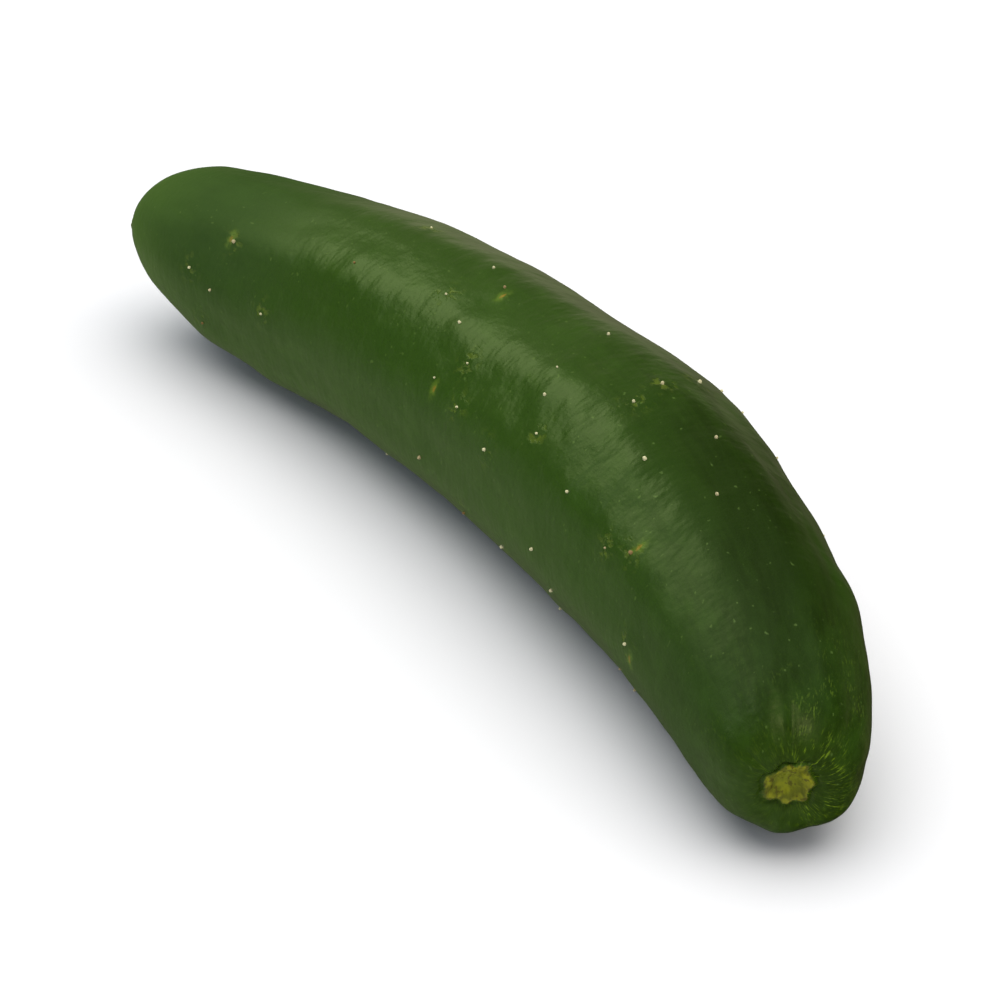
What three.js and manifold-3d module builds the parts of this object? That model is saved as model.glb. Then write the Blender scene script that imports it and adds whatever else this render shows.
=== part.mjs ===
// A whole fresh cucumber, lying on its side as picked. Millimetres, +Z up.
//
// The fruit grew as one piece, so it is one solid: a long barrel bent sideways into an
// arc, blunt at the blossom end (+X) and more pointed at the stem end (-X). The belly of
// the arc bulges towards +Y. Nine low ribs run along the skin and carry rows of tiny spine
// bases, each on a very low mound. The blossom end has a sunken corky scar with a broken
// rim, and the stem end has the round scar where the stem came away cleanly. The underside
// is flattened a little where it lies on the table.
//
// The origin is on the table, under the middle of the bounding box.

import * as THREE from "three";
import { mergeVertices } from "three/addons/utils/BufferGeometryUtils.js";
import Module from "manifold-3d";

// ---- Driving dimensions -------------------------------------------------------------

const LENGTH = 220; // along the centreline, tip to tip
const HALF = LENGTH / 2;

// Radius of the barrel at even stations along the fruit, before the ends round off.
// Station positions run from -1 at the stem tip to +1 at the blossom tip.
const FIRST_STATION = -0.9;
const STATION_STEP = 0.3;
const BARREL_RADII = [19.2, 18.6, 20.5, 21.1, 21.6, 19.7, 18.4];

// Each end rounds off over this length, as a superellipse: 2 is an ellipse, more is blunter.
const STEM_END = { length: 52, bluntness: 2.1 };
const BLOSSOM_END = { length: 104, bluntness: 3.5 };

// Sideways bend, as turn in radians over half the length: even, growing towards the
// blossom end, and stronger towards both ends.
const BEND_EVEN = 0.285;
const BEND_SKEW = 0.01;
const BEND_ENDS = 0.81;

// From this far out, the fruit's axis sags at the blossom end and rises at the stem end.
const DROOP_START = 0.4;
const BLOSSOM_DROOP = 4.2;
const STEM_RISE = 1.6;

// The blossom scar sits above the axis and a little to the hollow side of the bend. The skin
// round it is drawn along with it.
const SCAR_LIFT = 2.7;
const SCAR_SIDE = -0.7;
const SCAR_DRAW_REACH = 11;

// Where the fruit grew a little fuller or leaner: station, degrees round from +Y upwards,
// height, and how far it reaches along and around the skin.
const SWELLS = [
  { u: -0.88, angle: 72, height: 0.3, along: 6, around: 9 },
  { u: -0.73, angle: 60, height: -0.55, along: 13, around: 13 },
  { u: -0.47, angle: 56, height: 0.55, along: 11, around: 13 },
  { u: -0.28, angle: 50, height: -0.4, along: 7, around: 10 },
  { u: 0.22, angle: 41, height: 0.3, along: 9, around: 11 },
  { u: 0.46, angle: 31, height: -0.25, along: 6, around: 8 },
  { u: 0.7, angle: 22, height: 0.5, along: 4.5, around: 6 },
  { u: -0.75, angle: 220, height: 0.5, along: 7, around: 9 },
  { u: -0.57, angle: 223, height: 0.4, along: 6, around: 9 },
  { u: -0.37, angle: 223, height: -0.65, along: 10, around: 11 },
  { u: 0.96, angle: 315, height: 0.45, along: 4, around: 5 },
  { u: 0.95, angle: 240, height: 0.3, along: 4, around: 4 },
];

// Ribs, and the furrows that the ribs turn into beside the blossom scar.
const RIBS = 9;
const RIB_HEIGHT = 0.22;
const RIB_TWIST = 0.35; // radians over half the length
const LOBES = 7;
const LOBE_HEIGHT = 0.3;
const LOBE_START = 0.76;
const LOBE_CREST = THREE.MathUtils.degToRad(60);

// Spine bases, in one row along each rib. Each sits out of line by up to its stray, and
// they are thickest a little past the middle and thin out towards both ends.
const SPINE_PITCH = 11;
const SPINE_END_GAP = 20; // rows stop this far from each tip
const STRAY_ALONG = 5;
const STRAY_ASIDE = 6; // measured on the skin at the radius below
const STRAY_RADIUS = 21;
const SPINES_THICKEST = 0.25; // station
const SPINES_SPREAD = 0.45; // in stations
const SPINES_THINNEST = 0.22; // share of the places filled near the ends
const SEED = 1383850556;

// The low mound under each spine base, and the base itself.
const MOUND_HEIGHT = 0.2;
const MOUND_RADIUS = 3;
const SPINE_RADIUS = 0.6;
const SPINE_HEIGHT = 0.5; // above the mound
const SPINE_ROOT = 0.8; // sunk into the mound
const SPINE_SIDES = 5;
const SPINE_LOWEST = 1.5; // bases closer to the table are left out

// Scars: radius, how deep the floor lies, how far the rim and the groove round it go, and
// how many notches break the rim.
const BLOSSOM_SCAR = { radius: 3.5, depth: 0.5, rim: 0.4, notches: 7 };
const STEM_SCAR = { radius: 3.4, depth: 0.5, rim: 0.3, notches: 5 };

// The scars' outline is uneven. Each wave has a number of turns, a size and a phase.
const SCAR_WAVES = [
  { turns: 2, size: 0.11, phase: -1 },
  { turns: 3, size: 0.07, phase: 2.8 },
  { turns: 7, size: 0.05, phase: -0.2 },
];

// Across a scar, as shares of the way to its edge: where the floor ends and the slope up
// from it ends, where rim and groove run, and how wide they are.
const FLOOR_EDGE = 0.35;
const SLOPE_EDGE = 0.8;
const RIM_AT = 0.85;
const RIM_WIDTH = 0.18;
const GROOVE_AT = 1.12;
const GROOVE_WIDTH = 0.1;
const NOTCH_SHARE = 0.35; // how much of the rim a notch takes away

const RESTING_DEPTH = 0.4; // how much of the round underside is pressed flat

// Mesh: faces around the fruit, rings along it, and extra rings in a zone round each scar.
const AROUND = 50;
const RINGS = 92;
const SCAR_RINGS = 6;
const SCAR_ZONE = 1.6; // in radii of the scar
const BEND_STEPS = 400;
const PROFILE_STEPS = 4000;

// ---- Shape of the fruit -------------------------------------------------------------

// Catmull-Rom curve through the barrel radii, carried on straight past the outer stations.
function barrelRadius(u) {
  const last = BARREL_RADII.length - 1;
  const place = THREE.MathUtils.clamp((u - FIRST_STATION) / STATION_STEP, 0, last);
  const i = Math.min(Math.floor(place), last - 1);
  const t = place - i;
  const b = BARREL_RADII[i];
  const c = BARREL_RADII[i + 1];
  const a = i > 0 ? BARREL_RADII[i - 1] : 2 * b - c;
  const d = i + 2 <= last ? BARREL_RADII[i + 2] : 2 * c - b;
  const linear = (c - a) * t;
  const square = (2 * a - 5 * b + 4 * c - d) * t * t;
  const cube = (3 * b - a - 3 * c + d) * t * t * t;
  return b + (linear + square + cube) / 2;
}

// From 0 at a tip to 1 where the end has opened out to the full barrel.
function roundedEnd(distance, end) {
  const t = THREE.MathUtils.clamp(distance / end.length, 0, 1);
  return (1 - (1 - t) ** end.bluntness) ** (1 / end.bluntness);
}

function radiusAt(u) {
  const stem = roundedEnd((1 + u) * HALF, STEM_END);
  const blossom = roundedEnd((1 - u) * HALF, BLOSSOM_END);
  return barrelRadius(u) * stem * blossom;
}

// How far out beyond the droop's start, squared, from 0 to 1 at the tip.
function outwardness(u) {
  return THREE.MathUtils.clamp((u - DROOP_START) / (1 - DROOP_START), 0, 1) ** 2;
}

// Height of the axis over the table. The barrel lies on its own underside.
function axisHeight(u) {
  const ends = STEM_RISE * outwardness(-u) - BLOSSOM_DROOP * outwardness(u);
  return barrelRadius(u) - RESTING_DEPTH + ends;
}

// Heading of the centreline, seen from above.
function headingAt(u) {
  return -(BEND_EVEN * u + (BEND_SKEW * u ** 2) / 2 + (BEND_ENDS * u ** 3) / 3);
}

// The bent centreline, walked in short steps and then turned so that its ends lie along X.
function makeCentreline() {
  const points = [new THREE.Vector2(0, 0)];
  const step = 2 / BEND_STEPS;
  for (let i = 0; i < BEND_STEPS; i++) {
    const heading = headingAt(-1 + (i + 0.5) * step);
    const stride = new THREE.Vector2(Math.cos(heading), Math.sin(heading));
    points.push(stride.multiplyScalar(step * HALF).add(points[i]));
  }
  const chordAngle = points[BEND_STEPS].angle();
  const origin = new THREE.Vector2(0, 0);
  return { points: points.map((p) => p.rotateAround(origin, -chordAngle)), chordAngle };
}

const centreline = makeCentreline();

function centreAt(u) {
  const place = THREE.MathUtils.clamp(((u + 1) / 2) * BEND_STEPS, 0, BEND_STEPS - 1e-9);
  const i = Math.floor(place);
  return centreline.points[i].clone().lerp(centreline.points[i + 1], place - i);
}

// Directions at a station: along the fruit, and sideways to its left, which is +Y.
function directionsAt(u) {
  const heading = headingAt(u) - centreline.chordAngle;
  return {
    along: new THREE.Vector3(Math.cos(heading), Math.sin(heading), 0),
    side: new THREE.Vector3(-Math.sin(heading), Math.cos(heading), 0),
  };
}

// ---- Ribs, mounds and scars ---------------------------------------------------------

// Radial height of ribs and end lobes. They fade where the fruit narrows to its tips.
function ribHeight(u, phi) {
  const fade = Math.min(1, radiusAt(u) / barrelRadius(u)) ** 2;
  const ribs = RIB_HEIGHT * Math.cos(RIBS * (phi + RIB_TWIST * u));
  const towardsBlossom = THREE.MathUtils.smoothstep(u, LOBE_START, 1);
  const lobes = LOBE_HEIGHT * Math.cos(LOBES * (phi - LOBE_CREST)) * towardsBlossom;
  return ribs * fade + lobes * Math.min(1, radiusAt(u) / (2 * BLOSSOM_SCAR.radius));
}

// Park-Miller random numbers from 0 to 1, so that every build places the same spines.
function makeRandom(seed) {
  let state = seed;
  return () => {
    state = (state * 48271) % 2147483647;
    return state / 2147483647;
  };
}

// Where the spine bases sit: places along each rib, of which a random share is filled.
function placeSpines() {
  const random = makeRandom(SEED);
  const rowLength = Math.floor((LENGTH - 2 * SPINE_END_GAP) / SPINE_PITCH);
  const spines = [];
  for (let rib = 0; rib < RIBS; rib++) {
    const start = SPINE_END_GAP + SPINE_PITCH * random();
    for (let k = 0; k < rowLength; k++) {
      const along = start + SPINE_PITCH * k + STRAY_ALONG * (2 * random() - 1);
      const u = along / HALF - 1;
      const aside = (STRAY_ASIDE * (2 * random() - 1)) / STRAY_RADIUS;
      const thickness = Math.exp(-(((u - SPINES_THICKEST) / SPINES_SPREAD) ** 2));
      if (random() < SPINES_THINNEST + (1 - SPINES_THINNEST) * thickness) {
        spines.push({ u, phi: (2 * Math.PI * rib) / RIBS - RIB_TWIST * u + aside });
      }
    }
  }
  return spines;
}

const spines = placeSpines();

// A soft bump, 1 at its middle, at a distance measured in its own reaches along and around.
function bump(u, phi, middle, alongReach, aroundReach) {
  const along = ((u - middle.u) * HALF) / alongReach;
  if (Math.abs(along) > 3) return 0;
  const angle = phi - middle.phi;
  const turn = Math.atan2(Math.sin(angle), Math.cos(angle));
  const around = (turn * radiusAt(middle.u)) / aroundReach;
  return Math.exp(-(along ** 2 + around ** 2));
}

function moundHeight(u, phi) {
  let height = 0;
  for (const spine of spines) {
    height += MOUND_HEIGHT * bump(u, phi, spine, MOUND_RADIUS, MOUND_RADIUS);
  }
  return height;
}

function swellHeight(u, phi) {
  let height = 0;
  for (const swell of SWELLS) {
    const middle = { u: swell.u, phi: THREE.MathUtils.degToRad(swell.angle) };
    height += swell.height * bump(u, phi, middle, swell.along, swell.around);
  }
  return height;
}

// Distance from the middle of a scar, 1 at its uneven edge.
function scarReach(radius, phi, scar) {
  let outline = 1;
  for (const wave of SCAR_WAVES) {
    outline += wave.size * Math.cos(wave.turns * phi + wave.phase);
  }
  return radius / (scar.radius * outline);
}

// How far a scar moves the skin outwards along the fruit: a sunken floor in a broken rim,
// with a groove round it.
function scarHeight(radius, phi, scar) {
  const reach = scarReach(radius, phi, scar);
  const floor = 1 - THREE.MathUtils.smoothstep(reach, FLOOR_EDGE, SLOPE_EDGE);
  const rim = Math.exp(-(((reach - RIM_AT) / RIM_WIDTH) ** 2));
  const broken = 1 - NOTCH_SHARE + NOTCH_SHARE * Math.sin(scar.notches * phi);
  const groove = Math.exp(-(((reach - GROOVE_AT) / GROOVE_WIDTH) ** 2));
  return scar.rim * (rim * broken - groove) - scar.depth * floor;
}

// A point of the skin. u runs along the fruit and phi around it, from +Y upwards.
function skinPoint(u, phi) {
  const { along, side } = directionsAt(u);
  const centre = centreAt(u);
  const radius = radiusAt(u);
  const full = radius + ribHeight(u, phi) + swellHeight(u, phi) + moundHeight(u, phi);
  const reach = radius > 0 ? full : 0;
  const scar = u > 0 ? BLOSSOM_SCAR : STEM_SCAR;
  const outwards = scarHeight(radius, phi, scar) * Math.sign(u);
  const drawn = u > 0 ? Math.max(0, 1 - radius / SCAR_DRAW_REACH) ** 2 : 0;
  const height = axisHeight(u) + SCAR_LIFT * drawn;
  const point = new THREE.Vector3(centre.x, centre.y, height)
    .addScaledVector(side, reach * Math.cos(phi) + SCAR_SIDE * drawn)
    .addScaledVector(along, outwards);
  point.z = Math.max(0, point.z + reach * Math.sin(phi));
  return point;
}

// ---- Skin mesh ----------------------------------------------------------------------

// Stations of the rings: even steps over the skin from tip to tip, and closer inside the
// scars.
function ringStations() {
  const profile = [];
  for (let i = 0; i <= PROFILE_STEPS; i++) {
    const u = -Math.cos((Math.PI * i) / PROFILE_STEPS);
    profile.push(new THREE.Vector2(u * HALF, radiusAt(u)));
  }
  const travel = [0];
  for (let i = 1; i <= PROFILE_STEPS; i++) {
    travel.push(travel[i - 1] + profile[i].distanceTo(profile[i - 1]));
  }
  const whole = travel[PROFILE_STEPS];
  const stemEdge = SCAR_ZONE * STEM_SCAR.radius;
  const blossomEdge = whole - SCAR_ZONE * BLOSSOM_SCAR.radius;
  const between = RINGS - 2 * SCAR_RINGS;
  const marks = [];
  for (let i = 0; i < SCAR_RINGS; i++) marks.push((stemEdge * i) / SCAR_RINGS);
  for (let i = 0; i <= between; i++) {
    marks.push(stemEdge + ((blossomEdge - stemEdge) * i) / between);
  }
  for (let i = 1; i <= SCAR_RINGS; i++) {
    marks.push(blossomEdge + ((whole - blossomEdge) * i) / SCAR_RINGS);
  }
  let at = 0;
  return marks.map((mark) => {
    while (at < PROFILE_STEPS - 1 && travel[at + 1] < mark) at++;
    const t = (mark - travel[at]) / (travel[at + 1] - travel[at]);
    return THREE.MathUtils.clamp(
      THREE.MathUtils.lerp(profile[at].x, profile[at + 1].x, t) / HALF, -1, 1);
  });
}

// A ball of faces with its poles at the two tips, pulled out into the shape of the fruit.
function makeSkin() {
  const stations = ringStations();
  const ball = new THREE.SphereGeometry(1, AROUND, RINGS);
  ball.deleteAttribute("normal");
  ball.deleteAttribute("uv");
  const skin = mergeVertices(ball);
  const position = skin.getAttribute("position");
  for (let i = 0; i < position.count; i++) {
    const y = THREE.MathUtils.clamp(-position.getY(i), -1, 1);
    const ring = Math.round((Math.acos(-y) / Math.PI) * RINGS);
    const phi = Math.atan2(position.getZ(i), position.getX(i));
    const point = skinPoint(stations[ring], phi);
    position.setXYZ(i, point.x, point.y, point.z);
  }
  return skin;
}

// ---- Spine bases, fused to the skin -------------------------------------------------

function makeSpine(spine) {
  const { side } = directionsAt(spine.u);
  const outwards = side.multiplyScalar(Math.cos(spine.phi));
  outwards.z = Math.sin(spine.phi);
  const length = SPINE_ROOT + SPINE_HEIGHT;
  const cone = new THREE.ConeGeometry(SPINE_RADIUS, length, SPINE_SIDES);
  cone.translate(0, length / 2 - SPINE_ROOT, 0);
  const turn = new THREE.Quaternion().setFromUnitVectors(new THREE.Vector3(0, 1, 0), outwards);
  cone.applyQuaternion(turn);
  const foot = skinPoint(spine.u, spine.phi);
  return cone.translate(foot.x, foot.y, foot.z);
}

const wasm = await Module();
wasm.setup();

function solidOf(geometry) {
  geometry.deleteAttribute("normal");
  geometry.deleteAttribute("uv");
  const merged = mergeVertices(geometry, 1e-4);
  const vertProperties = merged.getAttribute("position").array;
  const triVerts = new Uint32Array(merged.index.array);
  return new wasm.Manifold(new wasm.Mesh({ numProp: 3, vertProperties, triVerts }));
}

function geometryOf(solid) {
  const mesh = solid.getMesh();
  const position = new THREE.BufferAttribute(new Float32Array(mesh.vertProperties), 3);
  const geometry = new THREE.BufferGeometry().setAttribute("position", position);
  return geometry.setIndex(new THREE.BufferAttribute(new Uint32Array(mesh.triVerts), 1));
}

// Spine bases stay off the underside, where they would stand the fruit on points.
function makeFruit() {
  let fruit = solidOf(makeSkin());
  for (const spine of spines) {
    if (skinPoint(spine.u, spine.phi).z > SPINE_LOWEST) {
      fruit = fruit.add(solidOf(makeSpine(spine)));
    }
  }
  const geometry = geometryOf(fruit);
  geometry.computeBoundingBox();
  const middle = geometry.boundingBox.getCenter(new THREE.Vector3());
  geometry.translate(-middle.x, -middle.y, -geometry.boundingBox.min.z);
  geometry.computeVertexNormals();
  return geometry;
}

// ---- The part -----------------------------------------------------------------------

const skinMaterial = new THREE.MeshStandardMaterial({
  color: 0x335a1e,
  roughness: 0.4,
  metalness: 0,
});

const cucumber = new THREE.Mesh(makeFruit(), skinMaterial);
cucumber.name = "cucumber";

const part = new THREE.Group();
part.add(cucumber);
export default part;
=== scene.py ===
# %% [markdown]
# # A fresh cucumber
#
# A cucumber is a fruit that grew as one piece. This lesson dresses its plain solid with
# the details that the eye looks for: low ribs, small mounds with broken spine tips, a corky
# scar at each end, and a dark waxy skin with lengthways mottling. Everything is in metres,
# in the same frame as the solid, which is loaded first and is never moved.

# %% Load the plain solid as a fixed frame
import math

import bpy
import numpy as np
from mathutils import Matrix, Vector


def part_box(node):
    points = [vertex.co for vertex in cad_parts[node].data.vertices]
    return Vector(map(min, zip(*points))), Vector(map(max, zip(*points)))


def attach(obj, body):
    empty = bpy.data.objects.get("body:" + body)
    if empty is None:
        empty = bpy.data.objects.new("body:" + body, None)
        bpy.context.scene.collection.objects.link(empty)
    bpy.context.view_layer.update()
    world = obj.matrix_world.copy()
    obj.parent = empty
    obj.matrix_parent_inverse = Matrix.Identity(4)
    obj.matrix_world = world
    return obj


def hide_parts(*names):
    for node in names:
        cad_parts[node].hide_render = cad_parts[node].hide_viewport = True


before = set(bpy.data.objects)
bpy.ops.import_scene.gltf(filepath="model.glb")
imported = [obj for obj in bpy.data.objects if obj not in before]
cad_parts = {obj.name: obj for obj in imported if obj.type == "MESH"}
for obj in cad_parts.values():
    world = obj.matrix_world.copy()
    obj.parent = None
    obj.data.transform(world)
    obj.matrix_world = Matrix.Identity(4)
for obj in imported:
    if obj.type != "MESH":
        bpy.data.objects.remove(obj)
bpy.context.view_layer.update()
low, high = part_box("cucumber")
print("the solid measures, mm:", [round(1000 * side, 1) for side in high - low])

# %% [markdown]
# ## The shape of the fruit
#
# The real fruit is a barrel that bends as it grows, because one side grows faster. It could
# be sculpted, but a formula is easier to correct: a radius for each station along the fruit,
# and a heading that says how the centreline turns. Stations run from -1 at the stem tip to
# +1 at the blossom tip. The values are in millimetres and match the plain solid.

# %% Sizes of the barrel and its ends
LENGTH = 220.0
HALF = LENGTH / 2
FIRST_STATION = -0.9
STATION_STEP = 0.3
BARREL_RADII = np.array([19.2, 18.6, 20.5, 21.1, 21.6, 19.7, 18.4])
STEM_END = {"length": 52.0, "bluntness": 2.1}
BLOSSOM_END = {"length": 104.0, "bluntness": 3.5}


def barrel_radius(u):
    """A Catmull-Rom curve through the radii, carried on straight past the outer stations."""
    last = len(BARREL_RADII) - 1
    place = np.clip((u - FIRST_STATION) / STATION_STEP, 0, last)
    i = np.minimum(np.floor(place).astype(int), last - 1)
    t = place - i
    b, c = BARREL_RADII[i], BARREL_RADII[i + 1]
    a = np.where(i > 0, BARREL_RADII[np.maximum(i - 1, 0)], 2 * b - c)
    d = np.where(i + 2 <= last, BARREL_RADII[np.minimum(i + 2, last)], 2 * c - b)
    square = (2 * a - 5 * b + 4 * c - d) * t**2
    cube = (3 * b - a - 3 * c + d) * t**3
    return b + ((c - a) * t + square + cube) / 2


def rounded_end(distance, end):
    """From 0 at a tip to 1 where the end has opened out to the full barrel."""
    t = np.clip(distance / end["length"], 0, 1)
    return (1 - (1 - t) ** end["bluntness"]) ** (1 / end["bluntness"])


def radius_at(u, from_stem=None, from_blossom=None):
    stem = rounded_end((1 + u) * HALF if from_stem is None else from_stem, STEM_END)
    blossom = rounded_end((1 - u) * HALF if from_blossom is None else from_blossom, BLOSSOM_END)
    return barrel_radius(u) * stem * blossom


print("radius in the middle, mm:", round(float(radius_at(np.array(0.0))), 2))

# %% [markdown]
# ## The bend
#
# Seen from above, the centreline of the real fruit turns one way, and most strongly at both
# ends. Its heading is a small polynomial of the station. Walking along it in short strides
# gives the centreline, which is then turned back so that both tips lie on one straight line.

# %% The bent centreline
BEND_EVEN, BEND_SKEW, BEND_ENDS = 0.285, 0.01, 0.81
BEND_STEPS = 400


def heading(u):
    return -(BEND_EVEN * u + BEND_SKEW * u**2 / 2 + BEND_ENDS * u**3 / 3)


step_middles = -1 + (np.arange(BEND_STEPS) + 0.5) * 2 / BEND_STEPS
strides = np.stack([np.cos(heading(step_middles)), np.sin(heading(step_middles))])
walk = np.concatenate([np.zeros((2, 1)), np.cumsum(strides, axis=1)], axis=1)
walk *= 2 / BEND_STEPS * HALF
chord_angle = math.atan2(walk[1, -1], walk[0, -1])
back_turn = np.array([
    [math.cos(chord_angle), math.sin(chord_angle)],
    [-math.sin(chord_angle), math.cos(chord_angle)],
])
walk = back_turn @ walk
walk_stations = np.linspace(-1, 1, BEND_STEPS + 1)
print("straight line between the tips, mm:", round(float(walk[0, -1]), 1))

# %% [markdown]
# ## How it rests
#
# A soft fruit settles on its underside, so a narrow strip of it is pressed flat. The whole
# axis sits a little lower than its radius asks for, and whatever would be under the table
# is lifted to it. The stem end rises slightly and the blossom end droops.

# %% Height of the axis over the table
RESTING_DEPTH = 0.4
STEM_RISE = 1.6
BLOSSOM_DROOP = 4.2
DROOP_START = 0.4


def outwardness(u):
    return np.clip((u - DROOP_START) / (1 - DROOP_START), 0, 1) ** 2


def axis_height(u):
    ends = STEM_RISE * outwardness(-u) - BLOSSOM_DROOP * outwardness(u)
    return barrel_radius(u) - RESTING_DEPTH + ends


print("axis over the table in the middle, mm:", round(float(axis_height(np.array(0.0))), 2))

# %% [markdown]
# ## Ribs, swellings and mounds
#
# The skin isn't round. Nine low ribs run along the fruit, the blossom end is puckered into
# seven lobes, and a fruit always grows a little fuller in one place and leaner in another.
# Each spine sits on its own low mound. They could be a bump in the material, but then the
# outline would stay smooth. So all of them are added to the radius, as real relief.

# %% Relief that the plain solid has too
RIBS = 9
RIB_HEIGHT = 0.22
RIB_TWIST = 0.35
LOBES = 7
LOBE_HEIGHT = 0.3
LOBE_START = 0.76
LOBE_CREST = math.radians(60)
BLOSSOM_SCAR = {"radius": 3.5, "depth": 0.5, "rim": 0.4, "notches": 7, "cork_seed": 11}

# Station, degrees round from +Y upwards, height, reach along, reach around.
SWELLS = [
    (-0.88, 72, 0.3, 6, 9),
    (-0.73, 60, -0.55, 13, 13),
    (-0.47, 56, 0.55, 11, 13),
    (-0.28, 50, -0.4, 7, 10),
    (0.22, 41, 0.3, 9, 11),
    (0.46, 31, -0.25, 6, 8),
    (0.7, 22, 0.5, 4.5, 6),
    (-0.75, 220, 0.5, 7, 9),
    (-0.57, 223, 0.4, 6, 9),
    (-0.37, 223, -0.65, 10, 11),
    (0.96, 315, 0.45, 4, 5),
    (0.95, 240, 0.3, 4, 4),
]


def smoothstep(value, start, end):
    """Rises softly from 0 at the start to 1 at the end."""
    t = np.clip((value - start) / (end - start), 0, 1)
    return t * t * (3 - 2 * t)


def bump(u, phi, u0, phi0, along_reach, around_reach):
    """1 at its middle, fading over its reach along and around the skin."""
    along = (u - u0) * HALF / along_reach
    turn = np.arctan2(np.sin(phi - phi0), np.cos(phi - phi0))
    around = turn * float(radius_at(np.array(u0))) / around_reach
    return np.exp(-(along**2 + around**2))


def rib_height(u, phi, radius):
    fade = np.minimum(1, radius / barrel_radius(u)) ** 2
    ribs = RIB_HEIGHT * np.cos(RIBS * (phi + RIB_TWIST * u))
    lobes = LOBE_HEIGHT * np.cos(LOBES * (phi - LOBE_CREST)) * smoothstep(u, LOBE_START, 1)
    return ribs * fade + lobes * np.minimum(1, radius / (2 * BLOSSOM_SCAR["radius"]))


print("swellings and hollows:", len(SWELLS))

# %% [markdown]
# ## Where the spines stand
#
# The spines grow in rows along the ribs, but never quite in line, and there are fewer of
# them towards both ends. A seeded random draw gives each its own place. The same draw, by
# the same rule, places the spine bases of the plain solid.

# %% Places of the spines
SPINE_SEED = 1383850556
SPINE_PITCH = 11.0
SPINE_END_GAP = 20.0
STRAY_ALONG = 5.0
STRAY_ASIDE = 6.0
STRAY_RADIUS = 21.0
SPINES_THICKEST = 0.25
SPINES_SPREAD = 0.45
SPINES_THINNEST = 0.22
DRAW_FACTOR, DRAW_PRIME = 48271, 2147483647


def park_miller(seed):
    """Random numbers from 0 to 1, the same ones on every run."""
    state = seed
    while True:
        state = state * DRAW_FACTOR % DRAW_PRIME
        yield state / DRAW_PRIME


def place_spines():
    """A row of spines along each rib, out of line, and thinned out towards both ends."""
    draw = park_miller(SPINE_SEED)
    row_length = math.floor((LENGTH - 2 * SPINE_END_GAP) / SPINE_PITCH)
    placed = []
    for rib in range(RIBS):
        start = SPINE_END_GAP + SPINE_PITCH * next(draw)
        for k in range(row_length):
            along = start + SPINE_PITCH * k + STRAY_ALONG * (2 * next(draw) - 1)
            u = along / HALF - 1
            aside = STRAY_ASIDE * (2 * next(draw) - 1) / STRAY_RADIUS
            thickness = math.exp(-(((u - SPINES_THICKEST) / SPINES_SPREAD) ** 2))
            if next(draw) < SPINES_THINNEST + (1 - SPINES_THINNEST) * thickness:
                placed.append((u, 2 * math.pi * rib / RIBS - RIB_TWIST * u + aside))
    return placed


spines = place_spines()
print("spines:", len(spines))

# %% [markdown]
# ## The scars
#
# The fruit hung from its stem at one end and carried the flower at the other. Each left a
# sunken disc of cork in a broken rim, with a groove around it. The disc could be a piece of
# its own, but it grew out of the skin, so it is relief in the same surface. Its edge is never
# round: three waves of different counts make it uneven.

# %% Relief of the scars
STEM_SCAR = {"radius": 3.4, "depth": 0.5, "rim": 0.3, "notches": 5, "cork_seed": 21}
# Waves around the edge: how many, height as a share of the radius, turn in radians.
EDGE_WAVES = [(2, 0.11, -1.0), (3, 0.07, 2.8), (7, 0.05, -0.2)]
SCAR_FLOOR_START, SCAR_FLOOR_END = 0.35, 0.8
SCAR_RIM_PLACE, SCAR_RIM_WIDTH = 0.85, 0.18
SCAR_GROOVE_PLACE, SCAR_GROOVE_WIDTH = 1.12, 0.1
RIM_BREAKS = 0.35


def scar_reach(radius, phi, scar):
    """Distance from the middle of a scar, 1 at its uneven edge."""
    waves = [height * np.cos(count * phi + turn) for count, height, turn in EDGE_WAVES]
    return radius / (scar["radius"] * (1 + sum(waves)))


def scar_height(radius, phi, scar):
    """How far a scar moves the skin outwards: a sunken floor in a broken rim, and a groove."""
    reach = scar_reach(radius, phi, scar)
    floor = 1 - smoothstep(reach, SCAR_FLOOR_START, SCAR_FLOOR_END)
    rim = np.exp(-(((reach - SCAR_RIM_PLACE) / SCAR_RIM_WIDTH) ** 2))
    broken = 1 - RIM_BREAKS + RIM_BREAKS * np.sin(scar["notches"] * phi)
    groove = np.exp(-(((reach - SCAR_GROOVE_PLACE) / SCAR_GROOVE_WIDTH) ** 2))
    return scar["rim"] * (rim * broken - groove) - scar["depth"] * floor


for scar_name, scar in (("stem", STEM_SCAR), ("blossom", BLOSSOM_SCAR)):
    depth = -float(scar_height(np.array(0.0), 0.0, scar))
    print(scar_name, "scar, depth in the middle, mm:", round(depth, 2))

# %% [markdown]
# ## Finer relief
#
# Between the ribs the skin is faintly uneven, like hammered metal, because the flesh below
# pushes it out cell by cell. A field of random values on a grid, blended smoothly between
# its points, makes such unevenness at any size. On the outer side, where the skin was
# stretched most, it has fine lengthways wrinkles. One narrow furrow runs out from the blossom
# scar, between two lobes.

# %% Random fields and fine relief
FIELD_SIZE = 24
FIELD_START = 40.0
# Height, size of a lump across the fruit and along it, seed.
UNEVENNESS = [(0.18, 9.0, 13.0, 1), (0.14, 4.5, 6.0, 2), (0.04, 2.0, 2.8, 3)]
WRINKLE_SIZES = (2.2, 2.2, 13.0)
WRINKLE_SEED = 4
WRINKLE_TWIST = 0.8
WRINKLE_HEIGHT = 0.015
OUTER_WRINKLE_HEIGHT = 0.11
OUTER_SIDE_START, OUTER_SIDE_END = -0.1, 0.8
OUTER_HALF_START, OUTER_HALF_END = -0.3, 0.4
FURROW_TURN = math.radians(90)
FURROW_DEPTH = 0.4
FURROW_WIDTH = 0.7
FURROW_FAR, FURROW_NEAR = 0.93, 0.97
SMOOTH_TIP_RADIUS, ROUGH_TIP_RADIUS = 3.0, 9.0


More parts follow.
